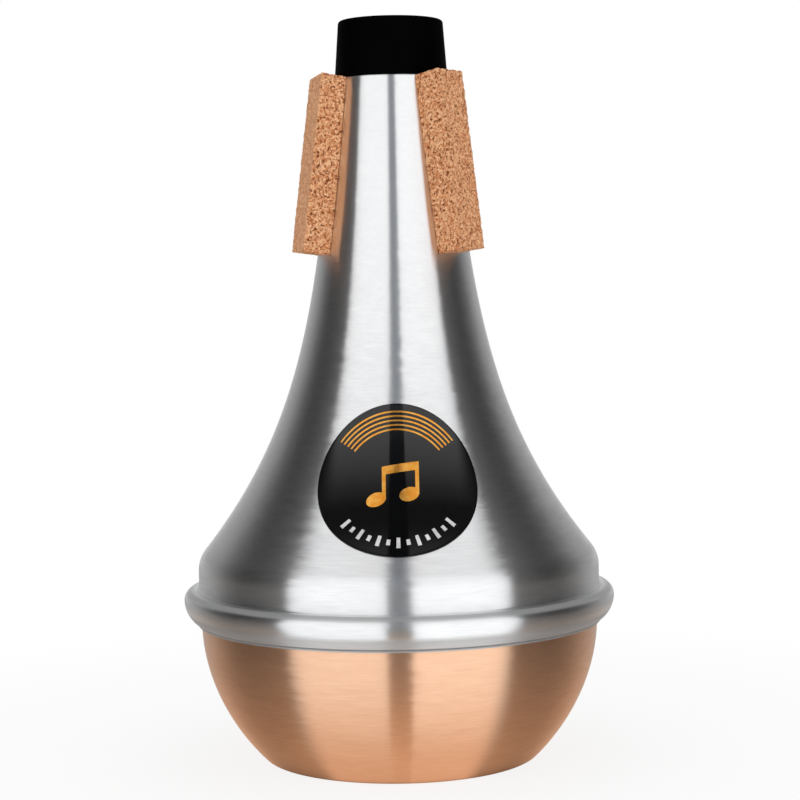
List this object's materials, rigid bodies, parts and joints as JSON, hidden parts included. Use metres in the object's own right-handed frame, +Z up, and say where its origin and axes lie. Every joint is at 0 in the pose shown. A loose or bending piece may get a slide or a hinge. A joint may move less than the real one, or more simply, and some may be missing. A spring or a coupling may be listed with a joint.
{
  "type": "trumpet straight mute",
  "caption": "Hollow flared straight mute: spun metal cone and beaded bottom dish, open at the nose through an end ring, with cork strips that grip a trumpet's bell.",
  "frame": {"origin": "centre of the flat base on which the mute stands", "axes": "+Z up along the axis of revolution, from the copper bottom to the nose; the label faces -Y; +X is to the right of someone who looks at the label"},
  "size_m": [0.102, 0.102, 0.174],
  "materials": {
    "spun_aluminium": "circumferentially brushed, lightly polished",
    "spun_copper": "circumferentially brushed, clear lacquered copper",
    "black_rubber": "matte black moulded rubber",
    "cork": "cut natural agglomerated cork, unsealed",
    "contact_cement": "dried amber contact cement",
    "label_vinyl": null
  },
  "bodies": {
    "mute_body": {"aluminium_body": "spun_aluminium", "copper_bottom": "spun_copper", "cork_right": "cork", "cork_left": "cork", "cork_rear": "cork", "cork_cement_right": "contact_cement", "cork_cement_left": "contact_cement", "cork_cement_rear": "contact_cement", "round_label": "label_vinyl"},
    "end_ring": {"nose_ring": "black_rubber"}
  },
  "joints": [
    {"name": "nose_ring_pull", "type": "slide", "parent": "mute_body", "child": "end_ring", "axis": [0, 0, 1], "range_m": [0, 0.012]}
  ]
}
